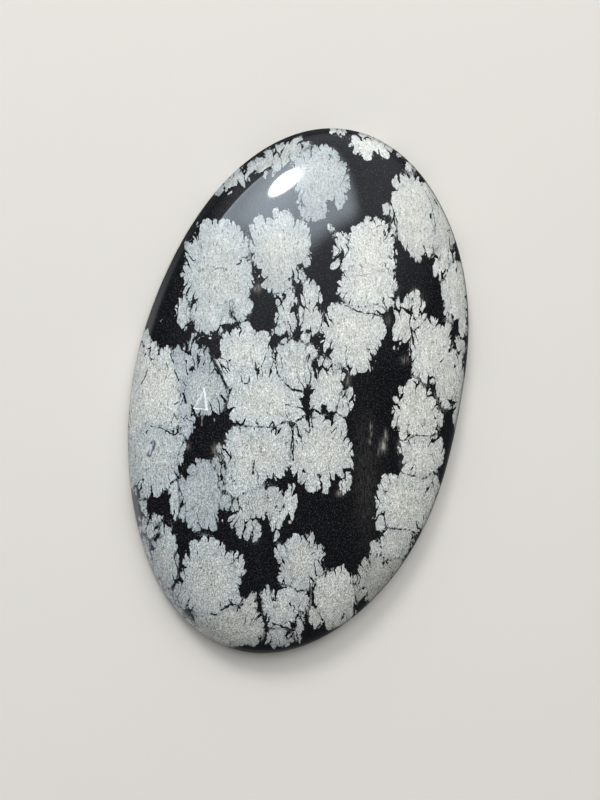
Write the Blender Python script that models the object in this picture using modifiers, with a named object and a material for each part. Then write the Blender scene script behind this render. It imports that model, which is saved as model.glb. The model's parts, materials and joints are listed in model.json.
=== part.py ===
"""Snowflake obsidian cabochon: one oval stone with a flat back, a sloped girdle and a domed top.

The stone is shaped the way a lapidary does it. A round blank is turned first, from a profile of its
flat back, bevel, girdle and dome. The blank is then ground to the oval outline, with the dome left
fuller towards the two ends. Its origin is the centre of the flat back, +Y runs along the stone and
+Z points out of the dome.
"""

import math

import bpy

# Sizes of the finished stone, in metres
LENGTH = 0.0420
WIDTH = 0.0260
THICKNESS = 0.0060

# The rim, from the flat back up to the edge where the dome starts
BACK_BEVEL = 0.0004
GIRDLE_TOP = 0.0020
GIRDLE_SLOPE = math.radians(17)
SHOULDER_ROUNDING = 0.0005

# How steep the dome is at its lower edge, across the width, and how much fuller its ends are
DOME_EDGE_SLOPE = math.radians(50)
END_FULLNESS = 0.6

# Slight waves of the hand-ground outline: waves round the stone, share of the radius, and the
# direction of a crest, counted from +X towards +Y
OUTLINE_WAVES = (
    (3, 0.0040, math.radians(-51)),
    (4, 0.0040, math.radians(45)),
    (5, 0.0043, math.radians(-33)),
)

# How finely the curved faces are divided
STEPS_ROUND = 96
DOME_STEPS = 14
SHOULDER_STEPS = 3
BACK_STEPS = 3

# Obsidian's black glass, seen with the pale grey flakes that cover most of it
STONE_COLOUR = (0.36, 0.38, 0.38, 1.0)
STONE_ROUGHNESS = 0.12

# The round blank is as wide as the stone
BLANK_RADIUS = WIDTH / 2
GIRDLE_INSET = (GIRDLE_TOP - BACK_BEVEL) * math.tan(GIRDLE_SLOPE)
SHOULDER_RADIUS = BLANK_RADIUS - GIRDLE_INSET
DOME_RISE = THICKNESS - GIRDLE_TOP

# The dome's profile is the top of an ellipse, cut where it reaches the edge slope. CUT is the
# height of that cut over the ellipse's upright half axis, and REACH its width over the flat one.
CUT = 1.0 / (math.tan(DOME_EDGE_SLOPE) * SHOULDER_RADIUS / DOME_RISE - 1.0)
REACH = math.sqrt(1.0 - CUT * CUT)


def dome_share(out):
    """The dome's height as a share of its rise, out from its middle (0) to its edge (1)."""
    return (math.sqrt(1.0 - (REACH * out) ** 2) - CUT) / (1.0 - CUT)


def dome_point(out):
    return (out * SHOULDER_RADIUS, GIRDLE_TOP + DOME_RISE * dome_share(out))


def rounded_corner(before, corner, after, steps):
    """Points along a smooth curve that takes the place of a corner."""
    points = []
    for step in range(steps + 1):
        t = step / steps
        weights = ((1 - t) ** 2, 2 * t * (1 - t), t**2)
        places = zip(before, corner, after)
        points.append(tuple(sum(w * p for w, p in zip(weights, place)) for place in places))
    return points


def blank_profile():
    """Half the blank's cross-section as (radius, height), from the dome's top to the back's middle."""
    shoulder_out = 1.0 - SHOULDER_ROUNDING / SHOULDER_RADIUS
    dome = [dome_point(shoulder_out * step / DOME_STEPS) for step in range(DOME_STEPS)]
    girdle_side = (
        SHOULDER_RADIUS + SHOULDER_ROUNDING * math.sin(GIRDLE_SLOPE),
        GIRDLE_TOP - SHOULDER_ROUNDING * math.cos(GIRDLE_SLOPE),
    )
    shoulder = rounded_corner(dome_point(shoulder_out), dome_point(1.0), girdle_side, SHOULDER_STEPS)
    bevel = [(BLANK_RADIUS, BACK_BEVEL), (BLANK_RADIUS - BACK_BEVEL, 0.0)]
    back_radius = BLANK_RADIUS - BACK_BEVEL
    back = [(back_radius * (1 - step / BACK_STEPS), 0.0) for step in range(1, BACK_STEPS + 1)]
    return dome + shoulder + bevel + back


def outline_radius(angle):
    """Distance from the stone's middle to its widest outline, in a direction counted from +X."""
    across, along = WIDTH / 2, LENGTH / 2
    oval = across * along / math.hypot(along * math.cos(angle), across * math.sin(angle))
    waves = sum(share * math.cos(count * (angle - crest)) for count, share, crest in OUTLINE_WAVES)
    return oval * (1.0 + waves)


def grind_to_oval(mesh):
    """Moves the round blank's points so that its rim follows the oval outline at its real width."""
    for vertex in mesh.vertices:
        x, y, z = vertex.co
        radius = math.hypot(x, y)
        angle = math.atan2(y, x)
        rim = outline_radius(angle)
        if z > 0.0:
            inner = SHOULDER_RADIUS
        else:
            inner = BLANK_RADIUS - BACK_BEVEL
        inset = BLANK_RADIUS - inner
        out = min(radius / inner, 1.0)
        if radius > inner:
            new_radius = rim - (BLANK_RADIUS - radius)
        else:
            new_radius = out * (rim - inset)
        x, y = new_radius * math.cos(angle), new_radius * math.sin(angle)
        if z > GIRDLE_TOP:
            towards_end = (y / (LENGTH / 2)) ** 2
            fuller = out ** (1.0 + END_FULLNESS * towards_end)
            z += DOME_RISE * (dome_share(fuller) - dome_share(out))
        vertex.co = (x, y, z)


def bring_to_size(mesh):
    """Centres the outline over the origin and gives it exactly the stone's width and length."""
    for axis, size in ((0, WIDTH), (1, LENGTH)):
        places = [vertex.co[axis] for vertex in mesh.vertices]
        low, high = min(places), max(places)
        for vertex in mesh.vertices:
            vertex.co[axis] = (vertex.co[axis] - (low + high) / 2) * size / (high - low)


def polished_obsidian():
    material = bpy.data.materials.new("polished snowflake obsidian")
    material.use_nodes = True
    shader = material.node_tree.nodes["Principled BSDF"]
    shader.inputs["Base Color"].default_value = STONE_COLOUR
    shader.inputs["Roughness"].default_value = STONE_ROUGHNESS
    shader.inputs["Metallic"].default_value = 0.0
    return material


def turned_blank(collection):
    """The round blank, as a profile that a Screw modifier turns about +Z."""
    points = [(radius, 0.0, height) for radius, height in blank_profile()]
    edges = [(number, number + 1) for number in range(len(points) - 1)]
    mesh = bpy.data.meshes.new("blank profile")
    mesh.from_pydata(points, edges, [])
    blank = bpy.data.objects.new("blank", mesh)
    collection.objects.link(blank)
    turn = blank.modifiers.new("turn", "SCREW")
    turn.axis = "Z"
    turn.angle = 2 * math.pi
    turn.steps = STEPS_ROUND
    turn.render_steps = STEPS_ROUND
    turn.use_merge_vertices = True
    turn.merge_threshold = 0.00001
    return blank


def build_stone(collection):
    blank = turned_blank(collection)
    graph = bpy.context.evaluated_depsgraph_get()
    mesh = bpy.data.meshes.new_from_object(blank.evaluated_get(graph))
    bpy.data.objects.remove(blank)
    mesh.name = "cabochon"
    grind_to_oval(mesh)
    bring_to_size(mesh)
    mesh.shade_smooth()
    mesh.set_sharp_from_angle(angle=math.radians(30))
    mesh.materials.clear()
    mesh.materials.append(polished_obsidian())
    stone = bpy.data.objects.new("cabochon", mesh)
    collection.objects.link(stone)
    return stone


def main():
    for thing in list(bpy.data.objects):
        bpy.data.objects.remove(thing)
    collection = bpy.data.collections.new("snowflake obsidian cabochon")
    bpy.context.scene.collection.children.link(collection)
    build_stone(collection)


main()
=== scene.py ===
# %% [markdown]
# # A snowflake obsidian cabochon
#
# The real object is one oval stone: black volcanic glass full of pale grey flakes, cut with a domed
# top, a sloped girdle and a flat back, and polished all over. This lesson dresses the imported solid
# of that stone. It makes a finer mesh of the same shape, lays the flakes out one by one, and lets a
# node material draw their ragged edges, their grain and the gloss of the glass.
#
# All lengths are metres, unless a name ends in MM. The stone's own axes are used throughout: +X
# across it, +Y along it, and +Z out of the dome. The middle of its flat back is the origin.

import json
import math
import random

import bpy
import numpy as np
from mathutils import Matrix, Vector
from mathutils.bvhtree import BVHTree

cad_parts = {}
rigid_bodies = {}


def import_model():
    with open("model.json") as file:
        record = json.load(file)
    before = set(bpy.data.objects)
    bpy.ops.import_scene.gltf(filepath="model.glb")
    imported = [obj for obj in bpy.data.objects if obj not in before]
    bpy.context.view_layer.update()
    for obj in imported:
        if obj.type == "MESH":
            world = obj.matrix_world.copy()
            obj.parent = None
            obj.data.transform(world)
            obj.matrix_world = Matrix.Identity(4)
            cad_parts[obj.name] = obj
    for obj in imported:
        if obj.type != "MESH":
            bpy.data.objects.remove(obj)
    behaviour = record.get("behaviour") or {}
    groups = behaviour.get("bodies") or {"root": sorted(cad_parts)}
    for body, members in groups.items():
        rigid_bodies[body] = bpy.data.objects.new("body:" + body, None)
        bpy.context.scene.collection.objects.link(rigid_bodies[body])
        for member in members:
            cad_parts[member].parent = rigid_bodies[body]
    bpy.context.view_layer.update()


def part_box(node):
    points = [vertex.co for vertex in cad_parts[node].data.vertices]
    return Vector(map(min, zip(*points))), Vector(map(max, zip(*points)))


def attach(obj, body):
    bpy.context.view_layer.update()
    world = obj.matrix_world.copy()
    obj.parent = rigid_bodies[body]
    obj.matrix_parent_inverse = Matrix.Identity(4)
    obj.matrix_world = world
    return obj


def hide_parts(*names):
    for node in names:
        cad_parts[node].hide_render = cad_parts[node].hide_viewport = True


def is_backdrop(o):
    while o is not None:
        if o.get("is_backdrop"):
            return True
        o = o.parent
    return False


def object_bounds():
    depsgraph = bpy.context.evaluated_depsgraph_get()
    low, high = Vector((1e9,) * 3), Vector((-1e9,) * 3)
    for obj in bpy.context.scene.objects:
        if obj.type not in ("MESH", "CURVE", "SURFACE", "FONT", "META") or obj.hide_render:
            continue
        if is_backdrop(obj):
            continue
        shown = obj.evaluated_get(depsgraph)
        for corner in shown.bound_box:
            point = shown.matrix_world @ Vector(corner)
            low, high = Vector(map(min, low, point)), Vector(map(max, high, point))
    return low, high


for thing in list(bpy.data.objects):
    bpy.data.objects.remove(thing)

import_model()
low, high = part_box("cabochon")
WIDTH, LENGTH, THICKNESS = high - low
MM = 0.001
print("the stone is", [round(side / MM, 2) for side in (WIDTH, LENGTH, THICKNESS)], "mm")

# %% [markdown]
# ## Where the camera stands
#
# The camera comes first, because the flakes are placed by where the photo shows them. It looks down
# on the dome from about 15 cm. It leans a little to the left, so that the left girdle shows, and the
# stone's long axis is turned in the picture. Both are plain angles here, and the camera's place is
# worked out from them. The lens makes the 42 mm stone as tall in the picture as it is in the photo.

# %% The camera
PICTURE_WIDTH, PICTURE_HEIGHT = 600, 800
CAMERA_DISTANCE = 0.150
LEAN = math.radians(8.0)
TURN_IN_PICTURE = math.radians(12.35)
AIM = Vector((-0.00012, -0.00067, 0.0030))
LENS_MM = 87.0
SENSOR_MM = 36.0
NEAREST_DRAWN = 0.01

towards_camera = Vector((-math.sin(LEAN), 0.0, math.cos(LEAN)))
picture_up = Vector((-math.sin(TURN_IN_PICTURE), math.cos(TURN_IN_PICTURE), 0.0))
picture_right = picture_up.cross(towards_camera).normalized()
picture_up = towards_camera.cross(picture_right)
camera_place = AIM + CAMERA_DISTANCE * towards_camera

camera_data = bpy.data.cameras.new("camera")
camera_data.lens = LENS_MM
camera_data.sensor_width = SENSOR_MM
camera_data.clip_start = NEAREST_DRAWN
camera = bpy.data.objects.new("camera", camera_data)
axes = Matrix((picture_right, picture_up, towards_camera)).transposed()
camera.matrix_world = Matrix.Translation(camera_place) @ axes.to_4x4()
bpy.context.scene.collection.objects.link(camera)
bpy.context.scene.camera = camera

PIXELS_PER_SLOPE = LENS_MM / SENSOR_MM * PICTURE_HEIGHT


def pixels_of(points):
    """The picture's x and y, in pixels, for an array of points."""
    away = points - np.array(camera_place)
    depth = -away @ np.array(towards_camera)
    x = PICTURE_WIDTH / 2 + PIXELS_PER_SLOPE * (away @ np.array(picture_right)) / depth
    y = PICTURE_HEIGHT / 2 - PIXELS_PER_SLOPE * (away @ np.array(picture_up)) / depth
    return x, y


def ray_through(x, y):
    """The direction from the camera through a pixel of the picture."""
    right = (x - PICTURE_WIDTH / 2) / PIXELS_PER_SLOPE
    up = (PICTURE_HEIGHT / 2 - y) / PIXELS_PER_SLOPE
    return (right * picture_right + up * picture_up - towards_camera).normalized()


MM_PER_PIXEL = CAMERA_DISTANCE / PIXELS_PER_SLOPE / MM
print("one pixel is", round(MM_PER_PIXEL, 4), "mm on the stone")

# %% [markdown]
# ## The stone's shape
#
# A lapidary cuts a blank and grinds it, so the mesh is made in the same order. A profile of half
# the cross-section is turned by a Screw modifier into a round blank, and the blank's points are then
# moved out to the oval outline. The solid in the frame was made in this way with few points. The
# same sizes are used here with many more, so that a highlight runs smoothly over the dome. A
# subdivided copy of the solid would have been quicker, but its flat facets would stay as faint bumps.
#
# The dome's profile is the top of an ellipse, cut off where it gets as steep as the dome's edge. CUT
# is how high that cut lies, and REACH how wide it is, both as shares of the ellipse's half axes.

# %% The blank's profile
BACK_BEVEL = 0.0004
GIRDLE_TOP = 0.0020
GIRDLE_SLOPE = math.radians(17)
SHOULDER_ROUNDING = 0.0005
DOME_EDGE_SLOPE = math.radians(50)
END_FULLNESS = 0.6
OUTLINE_WAVES = (
    (3, 0.0040, math.radians(-51)),
    (4, 0.0040, math.radians(45)),
    (5, 0.0043, math.radians(-33)),
)
STEPS_ROUND = 600
DOME_STEPS = 104
SHOULDER_STEPS = 5
GIRDLE_STEPS = 8
BEVEL_STEPS = 2
BACK_STEPS = 20

BLANK_RADIUS = WIDTH / 2
GIRDLE_INSET = (GIRDLE_TOP - BACK_BEVEL) * math.tan(GIRDLE_SLOPE)
SHOULDER_RADIUS = BLANK_RADIUS - GIRDLE_INSET
BACK_RADIUS = BLANK_RADIUS - BACK_BEVEL
DOME_RISE = THICKNESS - GIRDLE_TOP
CUT = 1.0 / (math.tan(DOME_EDGE_SLOPE) * SHOULDER_RADIUS / DOME_RISE - 1.0)
REACH = math.sqrt(1.0 - CUT * CUT)


def dome_share(out):
    """The dome's height as a share of its rise, out from its middle (0) to its edge (1)."""
    return (np.sqrt(1.0 - (REACH * out) ** 2) - CUT) / (1.0 - CUT)


def dome_point(out):
    return (out * SHOULDER_RADIUS, GIRDLE_TOP + DOME_RISE * float(dome_share(out)))


def line(start, end, steps):
    """Points from start up to, but without, end."""
    start, whole = np.array(start), np.subtract(end, start)
    return [tuple(start + whole * step / steps) for step in range(steps)]


def rounded_corner(before, corner, after, steps):
    """Points along a smooth curve that takes the place of a corner."""
    points = []
    for step in range(steps):
        t = step / steps
        weights = np.array(((1 - t) ** 2, 2 * t * (1 - t), t**2))
        points.append(tuple(weights @ np.array((before, corner, after))))
    return points


def blank_profile():
    """Half the cross-section as (radius, height), from the dome's top to the back's middle."""
    shoulder_out = 1.0 - SHOULDER_ROUNDING / SHOULDER_RADIUS
    dome = [dome_point(shoulder_out * step / DOME_STEPS) for step in range(DOME_STEPS)]
    girdle_side = (
        SHOULDER_RADIUS + SHOULDER_ROUNDING * math.sin(GIRDLE_SLOPE),
        GIRDLE_TOP - SHOULDER_ROUNDING * math.cos(GIRDLE_SLOPE),
    )
    dome_edge = dome_point(shoulder_out)
    shoulder = rounded_corner(dome_edge, dome_point(1.0), girdle_side, SHOULDER_STEPS)
    girdle = line(girdle_side, (BLANK_RADIUS, BACK_BEVEL), GIRDLE_STEPS)
    bevel = line((BLANK_RADIUS, BACK_BEVEL), (BACK_RADIUS, 0.0), BEVEL_STEPS)
    back = line((BACK_RADIUS, 0.0), (0.0, 0.0), BACK_STEPS)
    return dome + shoulder + girdle + bevel + back + [(0.0, 0.0)]


profile = blank_profile()
print("the profile has", len(profile), "points")

# %% The round blank
MERGE_DISTANCE = 0.000001


def turned_blank():
    """The profile, turned once about +Z."""
    edges = [(number, number + 1) for number in range(len(profile) - 1)]
    mesh = bpy.data.meshes.new("blank profile")
    mesh.from_pydata([(radius, 0.0, height) for radius, height in profile], edges, [])
    blank = bpy.data.objects.new("blank", mesh)
    bpy.context.scene.collection.objects.link(blank)
    turn = blank.modifiers.new("turn", "SCREW")
    turn.axis = "Z"
    turn.angle = 2 * math.pi
    turn.steps = STEPS_ROUND
    turn.render_steps = STEPS_ROUND
    turn.use_merge_vertices = True
    turn.merge_threshold = MERGE_DISTANCE
    graph = bpy.context.evaluated_depsgraph_get()
    turned = bpy.data.meshes.new_from_object(blank.evaluated_get(graph))
    bpy.data.objects.remove(blank)
    return turned


def points_of(mesh):
    flat = np.empty(len(mesh.vertices) * 3, np.float32)
    mesh.vertices.foreach_get("co", flat)
    return flat.reshape(-1, 3).astype(float)


def set_points(mesh, points):
    mesh.vertices.foreach_set("co", points.astype(np.float32).ravel())
    mesh.update()


stone_mesh = turned_blank()
stone_mesh.name = "polished_stone"
print("the blank has", len(stone_mesh.vertices), "points")

# %% [markdown]
# The blank is ground to its outline by moving each point along its own radius. On the real stone
# the outline is an oval with slight waves, left by grinding it freehand, and the dome stays a little
# fuller towards the two ends. Both are formulas, so the mesh needs no sculpting.

# %% Grinding it to the oval


def outline_radius(angle):
    """Distance from the stone's middle to its widest outline, in a direction counted from +X."""
    across, along = WIDTH / 2, LENGTH / 2
    oval = across * along / np.hypot(along * np.cos(angle), across * np.sin(angle))
    waves = sum(share * np.cos(count * (angle - crest)) for count, share, crest in OUTLINE_WAVES)
    return oval * (1.0 + waves)


def ground_to_oval(points):
    x, y, z = points.T
    radius = np.hypot(x, y)
    angle = np.arctan2(y, x)
    rim = outline_radius(angle)
    inner = np.where(z > 0.0, SHOULDER_RADIUS, BACK_RADIUS)
    out = np.minimum(radius / inner, 1.0)
    beyond = rim - (BLANK_RADIUS - radius)
    within = out * (rim - (BLANK_RADIUS - inner))
    new_radius = np.where(radius > inner, beyond, within)
    x = new_radius * np.cos(angle)
    y = new_radius * np.sin(angle)
    towards_end = (y / (LENGTH / 2)) ** 2
    fuller = out ** (1.0 + END_FULLNESS * towards_end)
    lift = DOME_RISE * (dome_share(fuller) - dome_share(out))
    return np.column_stack((x, y, np.where(z > GIRDLE_TOP, z + lift, z)))


def brought_to_size(points):
    """Centres the outline over the origin and gives it exactly the stone's width and length."""
    lowest, highest = points.min(0), points.max(0)
    middle = (lowest + highest) / 2
    scale = np.array((WIDTH, LENGTH, THICKNESS)) / (highest - lowest)
    middle[2], scale[2] = 0.0, 1.0
    return (points - middle) * scale


points = brought_to_size(ground_to_oval(points_of(stone_mesh)))
set_points(stone_mesh, points)
stone_mesh.shade_smooth()
print("the ground stone is", np.round(np.ptp(points, axis=0) / MM, 3), "mm")

# %% [markdown]
# ## Where the flakes lie
#
# The flakes are balls of pale cristobalite crystals that grew in the glass as it cooled. The cut
# through each shows as a round or lobed patch, and no two stones have the same ones. The ones that
# the photo shows are therefore laid out one by one: each has a name, and a few ellipses that
# together give its outline, as x, y, half width and half height in the photo's pixels. One noise
# texture would give a pattern of this kind, but not this stone.

# %% The flakes that show
FLAKES = {
    "under_highlight": ((320, 176, 28, 30), (314, 204, 17, 17), (341, 190, 8, 14), (336, 204, 5, 6)),
    "top_left_rim": ((264, 165, 10, 9), (278, 158, 13, 11), (292, 150, 12, 9), (303, 143, 8, 6),
                     (268, 172, 7, 7)),
    "far_left_rim": ((221, 187, 9, 8), (230, 182, 10, 11), (240, 176, 10, 12), (251, 167, 8, 7)),
    "top_speck": ((333, 130, 6, 5),),
    "top_speck_right": ((342, 130, 5, 7),),
    "upper_left": ((222, 250, 26, 31), (217, 280, 35, 32), (212, 310, 17, 25), (195, 252, 11, 13),
                   (241, 302, 11, 18), (245, 270, 6, 13), (208, 235, 12, 17), (198, 312, 7, 16)),
    "upper_left_small": ((182, 314, 7, 18),),
    "upper_middle": ((278, 248, 28, 34), (300, 243, 11, 22), (281, 218, 11, 11), (277, 277, 18, 16),
                     (304, 259, 9, 7), (298, 277, 8, 7), (258, 228, 9, 12)),
    "speck_below_highlight": ((328, 227, 2.5, 5),),
    "speck_below_highlight_2": ((333, 230, 3, 7),),
    "upper_right_middle": ((371, 240, 20, 24), (369, 260, 27, 22), (335, 264, 6, 5), (341, 241, 7, 9),
                           (337, 253, 5, 6), (389, 240, 6, 12), (392, 262, 5, 12)),
    "above_centre_right": ((367, 287, 29, 20), (387, 299, 8, 10), (391, 285, 6, 12)),
    "centre_right": ((352, 332, 31, 25), (337, 316, 12, 14), (361, 355, 16, 19), (340, 355, 11, 11),
                     (378, 328, 7, 14), (353, 367, 5, 8), (368, 366, 6, 9), (325, 343, 6, 10),
                     (374, 311, 11, 9)),
    "centre_column": ((327, 387, 16, 25), (322, 368, 9, 10), (316, 405, 6, 14), (340, 377, 6, 8)),
    "centre_column_lobe": ((343, 406, 6, 13), (340, 394, 5, 6)),
    "centre_column_lobe_right": ((351, 397, 5, 12),),
    "small_left_column": ((288, 312, 9, 23), (280, 298, 6, 7), (280, 316, 6, 8), (278, 331, 6, 6),
                          (284, 338, 5, 8), (292, 296, 4, 8)),
    "small_right_column": ((309.5, 310, 10, 29), (319, 297, 6, 9), (316, 318, 6, 12),
                           (305, 332, 5, 10)),
    "middle_above_centre": ((294, 366, 16, 26), (283, 357, 9, 12), (311, 352, 7, 7),
                            (301, 374, 8, 15)),
    "middle_left": ((243, 352, 27, 24), (247, 333, 8, 11), (262, 345, 9, 13), (224, 358, 8, 12),
                    (232, 375, 10, 12), (263, 400, 34, 27), (293, 402, 11, 13), (240, 411, 12, 13),
                    (265, 368, 11, 12), (296, 412, 8, 9), (249, 375, 10, 8)),
    "below_centre": ((258, 453, 34, 26), (245, 475, 20, 18), (236, 485, 9, 11), (234, 450, 9, 14),
                     (280, 440, 12, 12), (238, 437, 11, 10), (272, 467, 15, 13), (284, 435, 8, 12)),
    "below_centre_right": ((322, 450, 27, 33), (303, 455, 13, 28), (345, 457, 9, 19), (340, 428, 7, 14),
                           (315, 482, 11, 11), (344, 481, 7, 12), (326, 484, 6, 9), (303, 432, 9, 14)),
    "lower_middle": ((262, 505, 24, 17), (246, 513, 15, 17), (251, 530, 9, 13), (235, 518, 7, 10),
                     (241, 533, 5, 6), (268, 493, 14, 7)),
    "half_sunk_column": ((218, 450, 4, 6), (216, 461, 5.5, 6.5), (222, 470, 6.5, 8), (221, 483, 5, 8)),
    "lower_middle_right": ((276, 516, 6, 22), (290, 503, 7, 18), (284, 516, 5, 12)),
    "lower_left": ((200, 494, 20, 35), (224, 502, 8, 8), (185, 513, 6, 9), (210, 480, 9, 10),
                   (208, 520, 11, 10), (182, 485, 4, 5), (195, 521, 8, 9)),
    "lower_left_column": ((173.5, 500, 5, 20),),
    "left": ((203, 388, 22, 27), (181, 361, 10, 19), (195, 354, 5.5, 18), (204, 359, 5, 15),
             (211, 371, 6, 13), (188, 413, 10, 23), (216, 405, 7, 14), (218, 391, 9, 14)),
    "left_rim": ((155, 389, 26, 39), (166, 358, 6, 13), (154, 354, 5, 14), (146, 346, 5, 16),
                 (142, 370, 10, 36), (135, 410, 8, 40), (171, 418, 9, 12)),
    "left_low_rim": ((157, 456, 25, 34), (175, 445, 9, 15), (140, 458, 14, 38), (156, 491, 7, 10),
                     (142, 491, 5, 11)),
    "left_bottom_small": ((155, 518, 7, 6),),
    "left_bottom_small_2": ((152, 531, 6.5, 8),),
    "left_bottom_sliver": ((142.5, 509, 4.5, 13), (142.5, 525, 4.5, 12)),
    "bottom_left_rim": ((165, 557, 13, 30), (173, 548, 6, 14), (157, 556, 6, 20), (166, 577, 8, 12),
                        (165, 531, 5, 9)),
    "bottom_left": ((210, 582, 30, 37), (206, 547, 16, 11), (236, 563, 7, 12), (196, 570, 11, 18),
                    (243, 572, 4, 7), (231, 598, 9, 10), (221, 550, 6, 10), (183, 595, 9, 14)),
    "bottom_rim": ((225, 631, 35, 17), (250, 613, 9, 18), (205, 624, 14, 13), (254, 630, 9, 15),
                   (256, 596, 6, 5), (232, 615, 11, 8), (194, 621, 8, 7)),
    "bottom_rim_right": ((279, 638, 13, 10),),
    "bottom_column": ((265.5, 599, 5, 15),),
    "bottom_middle": ((283, 608, 13, 22), (292, 604, 8, 17), (304, 601, 5, 14), (274, 613, 7, 16),
                      (299, 629, 5, 13)),
    "lower_centre": ((300, 562, 18, 29), (282, 553, 8, 9), (285, 573, 8, 11), (318, 555, 7, 12),
                     (318, 569, 7, 9), (309, 541, 6, 9)),
    "lower_right_middle": ((333, 600, 20, 29), (341, 576, 9, 12), (320, 590, 7, 12), (348, 597, 7, 18),
                           (316, 615, 6, 14), (348, 610, 8, 12)),
    "lower_right": ((376, 580, 20, 23), (368, 566, 8, 10), (396, 566, 8, 12), (360, 587, 7, 14),
                    (370, 593, 9, 9)),
    "right_lower_rim": ((395, 545, 15, 17), (405, 538, 9, 12)),
    "right_lower_speck": ((376, 548, 6, 9),),
    "right_low": ((405, 503, 28, 29), (389, 488, 9, 13), (420, 508, 12, 24), (380, 520, 7, 12),
                  (432, 496, 8, 24)),
    "right_middle_low": ((421, 456, 18, 22), (402, 449, 5, 8), (409, 467, 7, 9), (438, 454, 6, 17)),
    "right_middle": ((415, 410, 22, 25), (403, 393, 5, 10), (412, 387, 8, 9), (396, 402, 6, 7),
                     (396, 424, 4, 8), (425, 428, 12, 9), (404, 434, 9, 6)),
    "right_rim_column": ((402, 325, 9, 28), (417, 313, 9, 16), (400, 343, 7, 11), (414, 294, 5, 7)),
    "right": ((431, 349, 20, 31), (422, 350, 10, 18), (420, 368, 10, 9), (447, 331, 5, 9),
              (429, 374, 9, 9)),
    "right_rim_low": ((449, 380, 14, 28), (458, 388, 6, 45), (457, 352, 5, 12)),
    "right_speck": ((441, 420, 4, 10),),
    "right_rim": ((458, 292, 12, 32), (446, 290, 6, 11), (450, 312, 6, 9), (463, 325, 5, 26),
                  (452, 277, 6, 9)),
    "right_small": ((441, 262, 8, 13), (440, 272, 5, 8), (443, 250, 5, 8)),
    "right_small_2": ((451, 256, 4, 9),),
    "upper_right": ((412, 210, 21, 35), (418, 236, 15, 25), (398, 197, 5, 18), (400, 200, 9, 24),
                    (398, 222, 6, 12), (429, 244, 7, 11)),
    "upper_right_rim": ((445, 212, 14, 37), (434, 188, 8, 17), (440, 236, 9, 15)),
    "upper_right_speck": ((410, 166, 7, 6),),
    "upper_right_speck_2": ((386, 209, 5, 6),),
    "top_right_rim": ((372, 143, 21, 13), (357, 143, 6, 10), (386, 148, 7, 9), (400, 155, 5, 4),
                      (368, 150, 15, 9)),
    "crystal_left": ((232, 321, 5, 4),),
    "crystal_left_2": ((226, 339, 3, 3.5),),
    "girdle_low_left": ((145, 548, 4, 10), (151, 564, 4.5, 11), (160, 583, 5, 13), (168, 599, 5, 12),
                        (178, 612, 6, 8)),
}
print("the photo shows", len(FLAKES), "flakes")

# %% [markdown]
# ## How far each point is from a flake's edge
#
# The material needs one number at every point of the surface: the distance to the nearest flake's
# edge, less than zero inside. A node tree could work it out from the ellipses, but it would need
# hundreds of nodes. The distance changes smoothly, so it is worked out here once for the mesh's
# points and kept on them as an attribute. A flake is a ball and not a stain, so it also ends in
# depth: a point that lies behind the face that the photo shows is further from it.

# %% Depth behind the face that shows
TOUCHING_MM = 0.02
stone_faces = [tuple(face.vertices) for face in stone_mesh.polygons]
stone_tree = BVHTree.FromPolygons(points.tolist(), stone_faces)


def surface_at(x, y):
    """The point of the stone that shows at a pixel of the picture, and its normal."""
    point, normal, _, _ = stone_tree.ray_cast(camera_place, ray_through(x, y))
    return point, normal


def depths_behind_face(points):
    """How far behind the face seen from the camera each point lies, in mm. It is 0 on that face."""
    depths = np.zeros(len(points))
    for number, point in enumerate(points):
        away = Vector(point) - camera_place
        hit = stone_tree.ray_cast(camera_place, away.normalized())[3]
        if hit is not None:
            depths[number] = max(0.0, away.length - hit) / MM
    depths[depths < TOUCHING_MM] = 0.0
    return depths


picture_x, picture_y = pixels_of(points)
depth_behind = depths_behind_face(points)
print("points on the face that shows:", int((depth_behind == 0.0).sum()), "of", len(points))

# %% [markdown]
# The flakes aren't all of one kind. Some grew so close that no black line parts them, and some are
# crumbly, with clefts that run right through. Their greys differ too, and each flake has its own
# tone. The lower right flake's dark tone is painted shade: the whole flake is made darker to stand
# for the shade that falls on the stone's lower right rim, which faces away from the lamps.
# A tone of 0 is the middle grey, and each step of 1 is a tenth lighter or darker. A warmth of 0
# leaves the flake's hue to its place on the stone. Both are given flake by flake.

# %% How each flake differs
CLOSE_GROWN = {"left_rim", "upper_right_middle", "bottom_rim", "right_rim_low", "upper_right_rim"}
CRUMBLY_FLAKES = {
    "half_sunk_column", "centre_column", "centre_column_lobe", "centre_column_lobe_right",
    "small_left_column", "small_right_column", "right_rim_column", "lower_middle",
    "lower_middle_right", "right_small", "right_small_2", "top_right_rim", "top_left_rim",
    "far_left_rim",
}
# The lower right flake's tone of -2.6 is painted shade, for the dark lower right rim.
TONES = {
    "under_highlight": -2.8, "top_left_rim": -2.5, "far_left_rim": -1.5, "upper_left": -0.6,
    "upper_middle": -1.2, "upper_right": -0.3, "upper_right_rim": -1.2, "upper_right_middle": 0.8,
    "above_centre_right": 0.8, "centre_right": 0.3, "middle_left": 0.4, "below_centre": -0.2,
    "left": -1.2, "left_rim": 0.3, "left_low_rim": -0.5, "lower_left": -1.6, "bottom_left": -0.4,
    "bottom_rim": -1.0, "bottom_left_rim": -0.8, "girdle_low_left": -1.0, "lower_middle": -1.4,
    "lower_centre": -1.0, "right_low": 0.3, "right_middle": 0.5, "right_middle_low": 0.5,
    "right": 0.5, "right_rim_low": 0.2, "lower_right": -2.6, "half_sunk_column": -3.0,
}
WARMTHS = {
    "left_rim": 0.2, "bottom_rim": 0.3, "left": -0.25, "lower_left": -0.25, "upper_left": -0.1,
    "under_highlight": -0.25, "lower_right": 0.3, "lower_right_middle": 0.25, "right_middle": 0.2,
    "left_low_rim": -0.1,
}
print("toned by eye:", len(TONES), "flakes, and crumbly:", len(CRUMBLY_FLAKES))

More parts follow.
